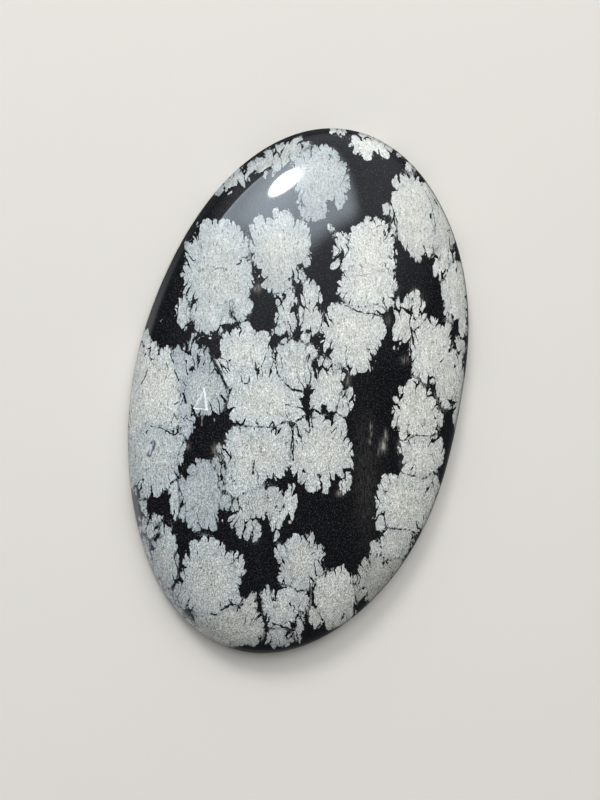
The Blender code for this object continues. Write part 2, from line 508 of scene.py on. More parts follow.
# %% [markdown]
# Each flake's distance comes from its ellipses, run together with rounded inner corners. A small
# lobe would swell more than a large one when its edge is roughened, so it is drawn in first. The
# same step keeps two places for the material's patterns: one that runs round the flake, and one that
# spreads from its middle like a fan. Each flake gets patterns of its own, because its places start
# far from those of the next.

# %% Distance to the flakes
FLAKE_DEPTH_SHARE = 1.6
RING_SHARE = 0.45
FAN_SHARE = 0.6
PATTERNS_APART_MM = 20.0
ROUNDING_MM = 0.12
SMALL_DRAWN_IN_MM = 0.24
SMALL_SIZE_MM = 0.80
distances = []
rings = []
fans = []


def direction_of(away):
    return away / np.maximum(np.linalg.norm(away, axis=1, keepdims=True), 1e-6)


def lay_flake(distance, outwards, size, from_middle, half_height):
    """Keeps a flake's distance, and where each point lies round it and along its fan."""
    ring = direction_of(outwards) * (size + RING_SHARE * distance)[:, None]
    fan = from_middle.copy()
    fan[:, 0] /= 1.0 + FAN_SHARE * np.abs(fan[:, 1]) / half_height
    own_place = PATTERNS_APART_MM * len(distances)
    distances.append(distance.astype(np.float32))
    rings.append((ring + own_place).astype(np.float32))
    fans.append((fan + own_place).astype(np.float32))


def lay_seen_flake(ellipses):
    shares = np.array([half_width * half_height for _, _, half_width, half_height in ellipses])
    sizes = np.sqrt(shares) * MM_PER_PIXEL
    away = []
    for (x, y, half_width, half_height), size in zip(ellipses, sizes):
        across = (picture_x - x) / half_width
        down = (picture_y - y) / half_height
        away.append(np.column_stack((across, down, depth_behind / (FLAKE_DEPTH_SHARE * size))))
    away = np.array(away)
    drawn_in = SMALL_DRAWN_IN_MM * np.clip(1.0 - sizes / SMALL_SIZE_MM, 0.0, 1.0)
    each = (np.linalg.norm(away, axis=2) - 1.0) * sizes[:, None] + drawn_in[:, None]
    nearest = each.min(axis=0)
    weights = np.exp((nearest - each) / ROUNDING_MM)
    total = weights.sum(axis=0)
    outwards = (weights[:, :, None] * away * sizes[:, None, None]).sum(axis=0)
    size = (weights * sizes[:, None]).sum(axis=0) / total
    middle = (np.array(ellipses)[:, :2] * shares[:, None]).sum(axis=0) / shares.sum()
    from_middle = np.column_stack((
        (picture_x - middle[0]) * MM_PER_PIXEL,
        (middle[1] - picture_y) * MM_PER_PIXEL,
        depth_behind,
    ))
    tallest = max(half_height for _, _, _, half_height in ellipses) * MM_PER_PIXEL
    lay_flake(nearest - ROUNDING_MM * np.log(total), outwards, size, from_middle, tallest)


for ellipses in FLAKES.values():
    lay_seen_flake(ellipses)
covered = float((np.min(distances, axis=0) < 0).mean())
print("the flakes that show take", round(covered, 2), "of the points")

# %% [markdown]
# The photo shows nothing of the back and little of the girdle, but flakes go all through the stone.
# More of the same size are laid there at random, at least 4.2 mm apart, until room gets hard to find.
# They are kept off the face that shows, where every flake has its known place. The random numbers
# start from a fixed seed, so each run lays the same ones.

# %% Flakes on the sides and the back
MOST_HIDDEN = 46
HIDDEN_APART_MM = 4.2
HIDDEN_DEPTH_MM = 0.3
HIDDEN_SIZES_MM = (1.5, 2.6)
HIDDEN_STRETCH = (0.85, 1.2)
FACE_MARGIN_MM = 0.8
KEPT_OFF_MM = 3.0
GIVE_UP_CHANCE = 0.0005
draw = random.Random(11)
hidden = np.flatnonzero(depth_behind > HIDDEN_DEPTH_MM)
kept_off_face = KEPT_OFF_MM * np.clip(1.0 - depth_behind / FACE_MARGIN_MM, 0.0, 1.0)
centres = []
while len(centres) < MOST_HIDDEN:
    place = points[hidden[draw.randrange(len(hidden))]]
    if all(np.linalg.norm(place - other) > HIDDEN_APART_MM * MM for other in centres):
        centres.append(place)
    elif draw.random() < GIVE_UP_CHANCE:
        break
flow_turn = np.array(Matrix.Rotation(-TURN_IN_PICTURE, 3, "Z"))
for centre in centres:
    size = draw.uniform(*HIDDEN_SIZES_MM)
    stretch = draw.uniform(*HIDDEN_STRETCH)
    away = (points - centre) / MM @ flow_turn.T
    outwards = away * (stretch, 1.0 / stretch, 1.0)
    distance = np.linalg.norm(outwards, axis=1) - size + kept_off_face
    lay_flake(distance, outwards, size, away, size)
print("the hidden ones are", len(centres))

# %% [markdown]
# Only the nearest flake counts at each point, and the second nearest tells how far the seam between
# the two is. Blender keeps such numbers on a mesh as attributes, and a material reads them by name.
# They travel with the mesh, which a texture painted for one view wouldn't.

# %% Keeping the numbers on the mesh
CLOSE_MM = 0.08
CHANCE_TONES = (-0.4, 0.4)


def keep_on_points(name, values):
    kind, slot = ("FLOAT_VECTOR", "vector") if values.ndim == 2 else ("FLOAT", "value")
    attribute = stone_mesh.attributes.new(name, kind, "POINT")
    attribute.data.foreach_set(slot, values.astype(np.float32).ravel())


each_point = np.arange(len(points))
nearest_flake, second_flake = np.argpartition(distances, (0, 1), axis=0)[:2]
nearest = np.array(distances)[nearest_flake, each_point]
second = np.array(distances)[second_flake, each_point]
close_grown = np.array([name in CLOSE_GROWN for name in FLAKES] + [False] * len(centres))
close_pair = close_grown[nearest_flake] | close_grown[second_flake]
seam = (second - nearest) / 2 + CLOSE_MM * close_pair
tone_draw = random.Random(5)
tones = np.array([tone_draw.uniform(*CHANCE_TONES) for _ in distances])
for number, name in enumerate(FLAKES):
    tones[number] = TONES.get(name, tones[number])
crumbly = np.array([name in CRUMBLY_FLAKES for name in FLAKES] + [False] * len(centres), float)
warmths = np.array([WARMTHS.get(name, 0.0) for name in FLAKES] + [0.0] * len(centres))
keep_on_points("flake_edge", nearest)
keep_on_points("flake_seam", seam)
keep_on_points("flake_ring", np.array(rings)[nearest_flake, each_point])
keep_on_points("flake_fan", np.array(fans)[nearest_flake, each_point])
keep_on_points("flake_tone", tones[nearest_flake])
keep_on_points("flake_crumbly", crumbly[nearest_flake])
keep_on_points("flake_warmth", warmths[nearest_flake])
print("points nearer to a hidden flake:", int((nearest_flake >= len(FLAKES)).sum()))

# %% [markdown]
# Obsidian is clear in thin layers, so crystals a little below the surface show as soft brownish
# wisps. The photo has about thirty. Each is given as x, y, half width and half height in the photo's
# pixels, and how strongly it shows. One number on the mesh carries them, and the material's noise
# breaks them into threads. The tall, faint one is a veil that runs down the black glass.

# %% Crystals sunk in the glass
SUNKEN_END_MM = 0.5
SUNKEN = (
    (383, 446, 4.5, 9, 1.0), (386, 436, 2.5, 8, 1.0), (379, 452, 3, 6, 0.8), (371, 429, 1.8, 10, 0.95),
    (370, 441, 2, 6, 0.7), (400, 446, 4, 9, 0.8), (403, 464, 5, 9, 0.6), (366, 480, 18, 90, 0.36),
    (415, 294, 6, 7, 0.8), (348, 381, 4, 11, 0.7), (340, 493, 6, 5, 0.8), (255, 541, 6, 4, 0.6),
    (405, 360, 6, 6, 0.7), (388, 320, 4, 7, 0.6), (246, 256, 6, 7, 0.8), (257, 288, 6, 6, 0.8),
    (247, 312, 6, 6, 0.7), (197, 355, 5, 6, 0.6), (207, 362, 5, 6, 0.6), (216, 450, 6, 8, 0.8),
    (215, 463, 6, 7, 0.7), (186, 446, 5, 6, 0.7), (229, 440, 6, 7, 0.8), (228, 485, 6, 7, 0.7),
    (424, 382, 5, 8, 0.6), (445, 408, 5, 6, 0.6), (420, 300, 9, 10, 0.5), (395, 290, 9, 8, 0.4),
    (300, 345, 5, 6, 0.5), (334, 360, 5, 5, 0.5),
)
sunken = np.zeros(len(points))
for x, y, half_width, half_height, strength in SUNKEN:
    reach = np.hypot((picture_x - x) / half_width, (picture_y - y) / half_height)
    reach += depth_behind / SUNKEN_END_MM
    sunken = np.maximum(sunken, strength * np.exp(-(reach ** 2)))
keep_on_points("sunken", sunken)
print("crystals sunk in the glass:", len(SUNKEN))

# %% [markdown]
# ## The material: polished snowflake obsidian
#
# Obsidian is a glass, ground and then polished with fine oxide, so it has the sharp, even gloss of
# a window pane and an index of refraction of about 1.49. The flakes are cristobalite, which takes
# nearly the same polish but is grainy, so it mirrors a little less and a little more softly. One
# glossy surface therefore lies over black and grey alike, and the colour under it changes. The flow
# of the lava drew the crystals out along one direction, which runs up and down in the picture, so
# every pattern here is stretched that way.

# %% Colours and the node helper


def linear(hex_colour):
    """An sRGB colour such as "#B7BEC0" as the linear red, green, blue and alpha of a node."""
    channels = [int(hex_colour[place : place + 2], 16) / 255 for place in (1, 3, 5)]
    curve = [c / 12.92 if c <= 0.04045 else ((c + 0.055) / 1.055) ** 2.4 for c in channels]
    return (*curve, 1.0)


def add(kind, inputs=(), output=0, **settings):
    """Adds a node with its settings, and values or links for its inputs. Gives back one output."""
    node = tree.nodes.new("ShaderNode" + kind)
    for name, value in settings.items():
        setattr(node, name, value)
    numbered = inputs if isinstance(inputs, dict) else dict(enumerate(inputs))
    for slot, value in numbered.items():
        if isinstance(value, bpy.types.NodeSocket):
            tree.links.new(value, node.inputs[slot])
        else:
            node.inputs[slot].default_value = value
    return node.outputs[output] if len(node.outputs) else None


def new_material(name):
    material = bpy.data.materials.new(name)
    material.use_nodes = True
    material.node_tree.nodes.clear()
    return material


OBSIDIAN_BLACK = "#0B0B0D"
FLAKE_COOL = "#ABB5BA"
FLAKE_WARM = "#C8C9C2"
print("the glass is", [round(c, 4) for c in linear(OBSIDIAN_BLACK)[:3]], "in linear light")

# %% Places in millimetres, along the flow
obsidian = new_material("polished_snowflake_obsidian")
tree = obsidian.node_tree
object_place = add("TexCoord", output="Object")
turned = {"Vector": object_place, "Angle": -TURN_IN_PICTURE}
in_flow = add("VectorRotate", turned, rotation_type="Z_AXIS")
place_mm = add("VectorMath", {0: in_flow, "Scale": 1 / MM}, operation="SCALE")
edge = add("Attribute", output="Fac", attribute_name="flake_edge")
seam = add("Attribute", output="Fac", attribute_name="flake_seam")
ring = add("Attribute", output="Vector", attribute_name="flake_ring")
fan = add("Attribute", output="Vector", attribute_name="flake_fan")
tone = add("Attribute", output="Fac", attribute_name="flake_tone")
crumbly_share = add("Attribute", output="Fac", attribute_name="flake_crumbly")
own_warmth = add("Attribute", output="Fac", attribute_name="flake_warmth")
sunken_share = add("Attribute", output="Fac", attribute_name="sunken")
print("numbers on the mesh:", [kept.name for kept in stone_mesh.attributes if "flake" in kept.name])

# %% [markdown]
# ### Ragged edges
#
# The crystals grew outwards as fronds, about 0.5 mm wide, with thin clefts of black glass between
# them that taper as they run in. A Voronoi texture gives both: its cells are the fronds, and the
# distance to the cells' borders draws the clefts. The cells are stretched along the fan of the
# flake, so that the fronds run up and down and spread a little. A second set of cells lies round the
# flake and rounds its edge off into lobes, and a third roughens both. Real clefts get finer than a
# pixel, 0.08 mm, so the finest cells are drawn coarser, at about three pixels.

# %% Fronds, lobes and clefts
FROND_MM = (0.50, 2.6, 1.2)
LOBE_MM = (0.48, 0.48, 0.48)
SMALL_LOBE_MM = (0.22, 0.26, 0.22)
WARP_MM = 0.40
WARP_GRAIN_MM = (0.45, 0.7, 0.6)
CLEFT_REACH = 0.42
FROND_SHARPNESS = 7.0
LOBE_SHARPNESS = 2.5
SMALL_SHARPNESS = 2.0


def cells(vector, size_mm, sharpness):
    """A random number for each cell, and how far into a cleft a place is: 1 in it, 0 amid a cell."""
    counted = {"Vector": add("VectorMath", (vector, size_mm), operation="DIVIDE"), "Scale": 1.0}
    number = add("SeparateXYZ", (add("TexVoronoi", counted, "Color"),))
    border = add("TexVoronoi", counted, "Distance", feature="DISTANCE_TO_EDGE")
    depth = add("MapRange", (border, 0.0, CLEFT_REACH, 1.0, 0.0))
    return number, add("Math", (depth, sharpness), operation="POWER")


warp_place = add("VectorMath", (place_mm, WARP_GRAIN_MM), operation="DIVIDE")
warp = add("TexNoise", {"Vector": warp_place, "Scale": 1.0}, "Color")
warp = add("VectorMath", (warp, (0.5, 0.5, 0.5)), operation="SUBTRACT")
warp = add("VectorMath", {0: warp, "Scale": WARP_MM}, operation="SCALE")
fan = add("VectorMath", (fan, warp), operation="ADD")
ring = add("VectorMath", (ring, warp), operation="ADD")
in_place = add("VectorMath", (place_mm, warp), operation="ADD")
frond_number, frond_cleft = cells(fan, FROND_MM, FROND_SHARPNESS)
lobe_number, lobe_cleft = cells(ring, LOBE_MM, LOBE_SHARPNESS)
_, small_cleft = cells(in_place, SMALL_LOBE_MM, SMALL_SHARPNESS)
print("fronds across a flake of 5 mm:", round(5 / FROND_MM[0]))

# %% [markdown]
# The cells only say how far the edge draws back at a place: far in a cleft, and a little over a
# frond that stopped growing early. The flake's edge on the mesh is pushed out by GROWTH_MM to make up
# for it. A slow noise makes the clefts long in one stretch of the edge and short in the next. Its
# values lie mostly between 0.35 and 0.65, so a Map Range node spreads those out, here and below. Near
# another flake the edge isn't free to be ragged, so the drawing back fades out there.

# %% How far the edge draws back
PATCHES_PER_MM = 0.7
FROND_PUSH_MM = 0.18
LOBE_PUSH_MM = 0.06
GROWTH_MM = 0.31
SOLID_CLEFT_MM = 0.65
CRUMBLY_CLEFT_MM = 1.1
LOBE_CLEFT_MM = 0.20
SMALL_CLEFT_MM = 0.07
CLEFT_LENGTHS = (0.3, 1.6)
FADES_OUT_MM = (-0.1, 0.5)
LEAST_FREE = 0.2
patch_place = add("VectorMath", {0: place_mm, "Scale": PATCHES_PER_MM}, operation="SCALE")
patches = add("TexNoise", {"Vector": patch_place, "Scale": 1.0, "Detail": 1.0})
deepest = add("MapRange", (crumbly_share, 0.0, 1.0, SOLID_CLEFT_MM, CRUMBLY_CLEFT_MM))
longer = add("MapRange", (patches, 0.35, 0.65, *CLEFT_LENGTHS))
reach = add("Math", (longer, deepest), operation="MULTIPLY")
retreat = add("Math", (frond_cleft, reach), operation="MULTIPLY")
retreat = add("Math", (lobe_cleft, LOBE_CLEFT_MM, retreat), operation="MULTIPLY_ADD")
retreat = add("Math", (frond_number, FROND_PUSH_MM, retreat), operation="MULTIPLY_ADD")
retreat = add("Math", (lobe_number, LOBE_PUSH_MM, retreat), operation="MULTIPLY_ADD")
second_edge = add("Math", (seam, 2.0, edge), operation="MULTIPLY_ADD")
free = add("MapRange", (second_edge, *FADES_OUT_MM, LEAST_FREE, 1.0))
outer = add("Math", (retreat, free, edge), operation="MULTIPLY_ADD")
outer = add("Math", (small_cleft, SMALL_CLEFT_MM, outer), operation="MULTIPLY_ADD")
outer = add("Math", (outer, GROWTH_MM), operation="SUBTRACT")
print("the longest clefts run in by", round(CLEFT_LENGTHS[1] * CRUMBLY_CLEFT_MM, 2), "mm")

# %% [markdown]
# Where two flakes grew into each other, a black seam about as thin as a pixel parts them, broken up
# into dashes. The distance to it is on the mesh, so it only needs a noise that changes its width
# about every third of a millimetre. Where that width falls below nothing, the seam is closed.

# %% Seams where two flakes meet
SEAM_MM = 0.035
SOFT_EDGE_MM = 0.04
SEAM_PATCHES_PER_MM = 3.3
WIDER_AT_CLEFT_MM = 0.05
WIDER_AT_LOBE_MM = 0.03
seam_place = add("VectorMath", {0: place_mm, "Scale": SEAM_PATCHES_PER_MM}, operation="SCALE")
seam_patches = add("TexNoise", {"Vector": seam_place, "Scale": 1.0, "Detail": 1.0})
inner = add("MapRange", (seam_patches, 0.3, 0.7, -1.2 * SEAM_MM, 2.2 * SEAM_MM))
inner = add("Math", (frond_cleft, WIDER_AT_CLEFT_MM, inner), operation="MULTIPLY_ADD")
inner = add("Math", (small_cleft, WIDER_AT_LOBE_MM, inner), operation="MULTIPLY_ADD")
inner = add("Math", (inner, seam), operation="SUBTRACT")
outside = add("Math", (outer, inner), operation="MAXIMUM")
edge_ends = (outside, -SOFT_EDGE_MM, SOFT_EDGE_MM, 1.0, 0.0)
in_flake = add("MapRange", edge_ends, interpolation_type="SMOOTHSTEP")
print("nodes so far:", len(tree.nodes))

# %% [markdown]
# ### Clefts with a known place
#
# The cells put their clefts where chance has them. The photo also shows some long black ones, where
# two flakes met or a flake split, and a viewer would miss these. Each is drawn by its distance to a
# line between two places on the stone, and a noise makes it thinner and wider on its way. The
# distance is made of few nodes and no clamped ones, because a long chain of those is more than the
# renderer can hold, and it would draw the stone black. A cleft is its half width in mm, then the
# pixels of the picture that it runs through.

# %% Distance to a line on the stone


def flow_place(x, y):
    """Where a pixel of the picture lies on the stone, in mm along the flow."""
    return Matrix.Rotation(-TURN_IN_PICTURE, 3, "Z") @ surface_at(x, y)[0] / MM


def distance_to_line(place, start_pixel, end_pixel):
    start, end = flow_place(*start_pixel), flow_place(*end_pixel)
    whole = end - start
    away = add("VectorMath", (place, tuple(start)), operation="SUBTRACT")
    along = tuple(whole / whole.length_squared)
    share = add("VectorMath", (away, along), "Value", operation="DOT_PRODUCT")
    share = add("Math", (share, 0.0), operation="MAXIMUM")
    share = add("Math", (share, 1.0), operation="MINIMUM")
    foot = add("VectorMath", {0: tuple(whole), "Scale": share}, operation="SCALE")
    return add("VectorMath", (away, foot), "Value", operation="DISTANCE")


picture_middle = flow_place(PICTURE_WIDTH / 2, PICTURE_HEIGHT / 2)
print("the picture's middle lies at", [round(c, 1) for c in picture_middle], "mm along the flow")

# %% Clefts the photo shows
CLEFT_WARP = 0.6
CLEFT_EDGE = (0.5, 1.3)
CLEFTS = (
    (0.12, (210, 353), (215, 364), (220, 373), (226, 387)),
    (0.09, (170, 354), (173, 363)),
    (0.09, (175, 371), (178, 380)),
    (0.08, (183, 393), (185.5, 403)),
    (0.08, (191.5, 405), (193, 413)),
    (0.05, (151, 426), (161, 428), (168, 431.5), (174, 435)),
    (0.10, (255, 363), (257.5, 373)),
    (0.12, (253, 263), (254, 276), (256, 290)),
    (0.05, (337, 302.5), (349, 307), (363, 313), (374, 314), (385, 318)),
    (0.04, (421, 184), (431, 202), (434.5, 220), (435, 234)),
    (0.06, (254, 460), (253, 474)),
    (0.05, (451, 349), (439, 364)),
    (0.08, (293, 430), (293.5, 460)),
    (0.16, (183.5, 540), (182.5, 556)),
    (0.09, (182.5, 556), (181, 572)),
    (0.14, (176, 580), (172.5, 588)),
    (0.06, (173, 588), (179.5, 604)),
    (0.17, (185, 611), (192, 616)),
    (0.10, (222, 610), (231, 604.5)),
    (0.11, (212, 614), (216.5, 614.5)),
    (0.28, (259.5, 600), (260, 611)),
    (0.10, (266, 613), (265.5, 640)),
    (0.09, (273, 623), (283, 627), (295, 631)),
    (0.20, (155, 539), (159.5, 534)),
    (0.06, (144.5, 515), (146, 540), (154.5, 563)),
)
WIDEST_SHARE, NARROWEST_SHARE = 0.6, 1.9
FAR_AWAY = 100.0
cleft_place = add("VectorMath", {0: warp, "Scale": CLEFT_WARP}, operation="SCALE")
cleft_place = add("VectorMath", (place_mm, cleft_place), operation="ADD")
cleft_gap = FAR_AWAY
for half_width, *bends in CLEFTS:
    for start_pixel, end_pixel in zip(bends, bends[1:]):
        gap = distance_to_line(cleft_place, start_pixel, end_pixel)
        gap = add("Math", (gap, 1.0 / half_width), operation="MULTIPLY")
        cleft_gap = add("Math", (gap, cleft_gap), operation="MINIMUM")
thinner = add("MapRange", (seam_patches, 0.35, 0.65, WIDEST_SHARE, NARROWEST_SHARE))
cleft_gap = add("Math", (cleft_gap, thinner), operation="MULTIPLY")
beside_cleft = add("MapRange", (cleft_gap, *CLEFT_EDGE, 0.0, 1.0))
in_flake = add("Math", (in_flake, beside_cleft), operation="MULTIPLY")
print("clefts drawn:", len(CLEFTS))

# %% [markdown]
# ### The grey of the flakes
#
# Seen close, the grey is a felt of fine needles: streaks along the fan, a grain of light and dark,
# and a few dark pits. The needles are a few hundredths of a millimetre thick, less than a pixel, so
# the grain is drawn at one to two pixels. It grows stronger towards the lower end, where the photo
# shows it coarser. Every flake is warmer in its middle than at its edge, and the whole stone is
# warmer on its right. Each of these is a share of the light that the grey gives back, and the shares
# are multiplied.

# %% Colour of the flakes
STREAK_MM = (0.12, 0.62, 0.35)
GRAIN_MM = (0.07, 0.13, 0.10)
PIT_MM = (0.12, 0.34, 0.2)
STREAK_DEPTH = 0.14
GRAIN_ENDS_MM = (14.0, -10.0)
GRAIN_DEPTHS = (0.30, 0.62)
BLOTCH_DEPTH = 0.08
TONE_STEP = 0.1
MOST_STEPS = 4.0
PIT_LIGHT = 0.50
WARM_SIDES = (0.2, 0.7)
WARM_MIDDLE = 0.4
streak_place = add("VectorMath", (fan, STREAK_MM), operation="DIVIDE")
streaks = add("TexNoise", {"Vector": streak_place, "Scale": 1.0, "Detail": 2.0, "Roughness": 0.6})
light = add("MapRange", (streaks, 0.34, 0.66, 1.0 - STREAK_DEPTH, 1.0 + STREAK_DEPTH))
across = add("SeparateXYZ", (place_mm,))
along_stone = add("SeparateXYZ", (place_mm,), 1)
grain_place = add("VectorMath", (place_mm, GRAIN_MM), operation="DIVIDE")
grain = add("TexNoise", {"Vector": grain_place, "Scale": 1.0, "Detail": 2.0, "Roughness": 0.7})
grain = add("MapRange", (grain, 0.34, 0.66, -1.0, 1.0))
grain_depth = add("MapRange", (along_stone, *GRAIN_ENDS_MM, *GRAIN_DEPTHS))
grain = add("Math", (grain, grain_depth, 1.0), operation="MULTIPLY_ADD")
blotches = add("TexNoise", {"Vector": patch_place, "Scale": 1.3})
blotches = add("MapRange", (blotches, 0.3, 0.7, 1.0 - BLOTCH_DEPTH, 1.0 + BLOTCH_DEPTH))
whole_tone = TONE_STEP * MOST_STEPS
toned = add("MapRange", (tone, -MOST_STEPS, MOST_STEPS, 1.0 - whole_tone, 1.0 + whole_tone))
fine_clefts = add("MapRange", (small_cleft, 0.0, 1.0, 1.03, 0.88))
pit_place = add("VectorMath", (place_mm, PIT_MM), operation="DIVIDE")
pits = add("TexNoise", {"Vector": pit_place, "Scale": 1.0, "Detail": 1.0})
pits = add("MapRange", (pits, 0.62, 0.70, 1.03, PIT_LIGHT))
for share in (grain, blotches, toned, fine_clefts, pits):
    light = add("Math", (light, share), operation="MULTIPLY")
warmth = add("MapRange", (across, -10.0, 10.0, *WARM_SIDES))
warmth = add("Math", (warmth, own_warmth), operation="ADD")
warm_middle = add("MapRange", (edge, -0.1, -1.4, 0.0, WARM_MIDDLE))
warmth = add("Math", (warmth, warm_middle), operation="ADD", use_clamp=True)
greys = {0: warmth, 6: linear(FLAKE_COOL), 7: linear(FLAKE_WARM)}
flake_hue = add("Mix", greys, 2, data_type="RGBA")
flake_colour = add("VectorMath", {0: flake_hue, "Scale": light}, operation="SCALE")
print("a grain is", round(GRAIN_MM[0] / MM_PER_PIXEL, 1), "pixels wide")

# %% [markdown]
# ### The black of the glass
#
# The glass is nearly black, with a dust of tiny crystals that a lens would show and that reads as a
# faint sparkle here. It is drawn at about one pixel. The sunken crystals lie over it as threads.

# %% Colour of the glass
SUNKEN_PALE = "#B4B0A6"
SPECK_GREY = "#8C929B"
WISP_MM = (0.10, 0.50, 0.30)
SPECK_MM = (0.09, 0.11, 0.10)
SPECK_SHARE = 0.12
SUNKEN_FALL = 2.5
wisp_place = add("VectorMath", (place_mm, WISP_MM), operation="DIVIDE")
wisps = add("TexNoise", {"Vector": wisp_place, "Scale": 1.0, "Detail": 3.0, "Roughness": 0.65})
wisps = add("MapRange", (wisps, 0.38, 0.64, 0.0, 1.0))
sunk = add("Math", (sunken_share, SUNKEN_FALL), operation="POWER")
sunk = add("Math", (sunk, wisps), operation="MULTIPLY")
speck_place = add("VectorMath", (place_mm, SPECK_MM), operation="DIVIDE")
specks = add("TexNoise", {"Vector": speck_place, "Scale": 1.0, "Detail": 1.0})
specks = add("MapRange", (specks, 0.52, 0.80, 0.0, SPECK_SHARE))
dusty = {0: specks, 6: linear(OBSIDIAN_BLACK), 7: linear(SPECK_GREY)}
glass = add("Mix", dusty, 2, data_type="RGBA")
glass = add("Mix", {0: sunk, 6: glass, 7: linear(SUNKEN_PALE)}, 2, data_type="RGBA")
surface_colour = add("Mix", {0: in_flake, 6: glass, 7: flake_colour}, 2, data_type="RGBA")
print("nodes so far:", len(tree.nodes))

# %% [markdown]
# ### Knocks and scratches
#
# The dome has been knocked twice. One knock left a bruise with a crushed white outline, a bit over a
# millimetre long and shaped like a flint. The other left a narrow pit, which isn't cut into the mesh:
# it is painted, as a dark ring of painted shade where its walls would be, round a pale blue inside
# and lip. A few hairline cracks and light scratches cross the surface, and one tiny white dot is a
# painted glint in a pinhole. All are thin lines, so each is drawn by its distance to a line between
# two places on the stone. A mark is its two ends as pixels of the picture, its half width in mm, its
# colour, and how much of it shows.

# %% Marks on the surface
MARK_WARP = 0.9
MARK_CORE = 0.45
CRUSHED_WHITE_AND_GLINT = "#F0F3F4"
CRACK_AND_PIT_SHADE_BLACK = "#1A1C20"
CRACK_BROWN = "#8A8478"
BRUISE_BLUE = "#8E99A8"
SMEAR_BEIGE = "#8A8681"
PIT_BLUE = "#C4CDDF"
PIT_LIP_BLUE = "#AEB8CC"
SPECK_BEIGE = "#C9C2B4"


def marked(colour, ends, half_width, mark_colour, strength=1.0):
    gap = distance_to_line(mark_place, *ends)
    share = add("MapRange", (gap, MARK_CORE * half_width, half_width, strength, 0.0))
    return add("Mix", {0: share, 6: colour, 7: linear(mark_colour)}, 2, data_type="RGBA")


mark_place = add("VectorMath", {0: warp, "Scale": MARK_WARP}, operation="SCALE")
mark_place = add("VectorMath", (place_mm, mark_place), operation="ADD")
MARKS = (
    (((200.5, 405), (203, 396)), 0.42, BRUISE_BLUE, 0.3),
    (((193.8, 408), (207, 409.5)), 0.10, CRUSHED_WHITE_AND_GLINT, 0.85),
    (((207, 409), (203.8, 388)), 0.09, CRUSHED_WHITE_AND_GLINT, 0.7),
    (((207.5, 402), (204.5, 392)), 0.06, CRUSHED_WHITE_AND_GLINT, 0.5),
    (((194, 407), (203.5, 391)), 0.08, CRUSHED_WHITE_AND_GLINT, 0.6),
    (((198, 404), (202.5, 395)), 0.06, CRUSHED_WHITE_AND_GLINT, 0.35),
    (((200, 385), (197, 389)), 0.06, CRUSHED_WHITE_AND_GLINT, 0.4),
    (((197, 389), (199, 392)), 0.05, CRUSHED_WHITE_AND_GLINT, 0.4),
    (((203.5, 410), (202.5, 418)), 0.14, SMEAR_BEIGE, 0.6),
    (((202.5, 418), (201.5, 425)), 0.09, SMEAR_BEIGE, 0.5),
    (((154, 443), (148.5, 455)), 0.46, CRUSHED_WHITE_AND_GLINT, 0.3),
    # The pit is only painted: this dark mark is painted shade of its walls, and the next two are its
    # pale blue inside and lip.
    (((153.7, 443.5), (149, 455)), 0.31, CRACK_AND_PIT_SHADE_BLACK, 0.85),
    (((151.2, 446), (149.6, 453.5)), 0.15, PIT_BLUE, 0.9),
    (((153.6, 442.5), (152.8, 446)), 0.08, PIT_LIP_BLUE, 0.7),
    (((147.4, 448), (146.8, 456)), 0.06, CRUSHED_WHITE_AND_GLINT, 0.6),
    (((342, 277), (362, 275)), 0.05, CRACK_BROWN, 0.7),
    (((362, 275), (385, 271)), 0.05, CRACK_BROWN, 0.7),
    (((148, 370), (145.5, 377)), 0.09, CRACK_AND_PIT_SHADE_BLACK, 0.8),
    (((145.5, 377), (141.5, 384)), 0.09, CRACK_AND_PIT_SHADE_BLACK, 0.8),
    (((210, 272), (216, 269)), 0.06, CRACK_AND_PIT_SHADE_BLACK, 0.6),
    (((216, 269), (224, 268)), 0.06, CRACK_AND_PIT_SHADE_BLACK, 0.6),
    (((159.5, 323), (162.5, 319)), 0.05, CRUSHED_WHITE_AND_GLINT, 0.35),
    (((195.5, 342), (200, 337)), 0.045, CRUSHED_WHITE_AND_GLINT, 0.35),
    (((200, 337), (204, 336)), 0.045, CRUSHED_WHITE_AND_GLINT, 0.3),
    # This white dot is a painted glint in a pinhole.
    (((210, 338), (210.5, 338.5)), 0.09, CRUSHED_WHITE_AND_GLINT, 0.8),
    (((222, 520), (222.5, 521)), 0.08, CRUSHED_WHITE_AND_GLINT, 0.7),
    (((290, 522), (290.5, 523)), 0.14, SPECK_BEIGE, 0.8),
)
for mark in MARKS:
    surface_colour = marked(surface_colour, *mark)
print("marks drawn:", len(MARKS))

# %% [markdown]
# ### The polish
#
# A glass polished with oxide has a roughness near 0.05. The flakes get twice that, and a lower
# specular level, because some of their needles end in pits that mirror nothing. No bump is used: the
# real stone is smooth to the touch.

# %% The polished surface
GLASS_IOR = 1.49
POLISH_ROUGHNESS = 0.06
FLAKE_ROUGHNESS = 0.13
GLASS_SPECULAR = 0.5
FLAKE_SPECULAR = 0.28
roughness = add("MapRange", (in_flake, 0.0, 1.0, POLISH_ROUGHNESS, FLAKE_ROUGHNESS))
specular = add("MapRange", (in_flake, 0.0, 1.0, GLASS_SPECULAR, FLAKE_SPECULAR))
surface = add("BsdfPrincipled", {
    "Base Color": surface_colour,
    "Roughness": roughness,
    "IOR": GLASS_IOR,
    "Specular IOR Level": specular,
})
add("OutputMaterial", {"Surface": surface})
print("the stone's material has", len(tree.nodes), "nodes")

# %% [markdown]
# ## The finished stone
#
# The mesh becomes one object that rides on the stone's body and takes the place of its plain solid.
# It is one piece, as the real stone is.

# %% The stone as a piece
stone_mesh.materials.clear()
stone_mesh.materials.append(obsidian)
stone = bpy.data.objects.new("polished_stone", stone_mesh)
bpy.context.scene.collection.objects.link(stone)
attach(stone, "root")
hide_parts("cabochon")
print("the stone has", len(stone_mesh.polygons), "faces")

# %% [markdown]
# ## The floor and the light
#
# A plain pale card carries the stone. It is uncoated card, so it is matt. It lies a hair below the
# flat back, so that the two faces don't fight for the same place. It is kept out of the stone's
# mirror, so that the right and lower rims stay as dark as they are on the real stone.

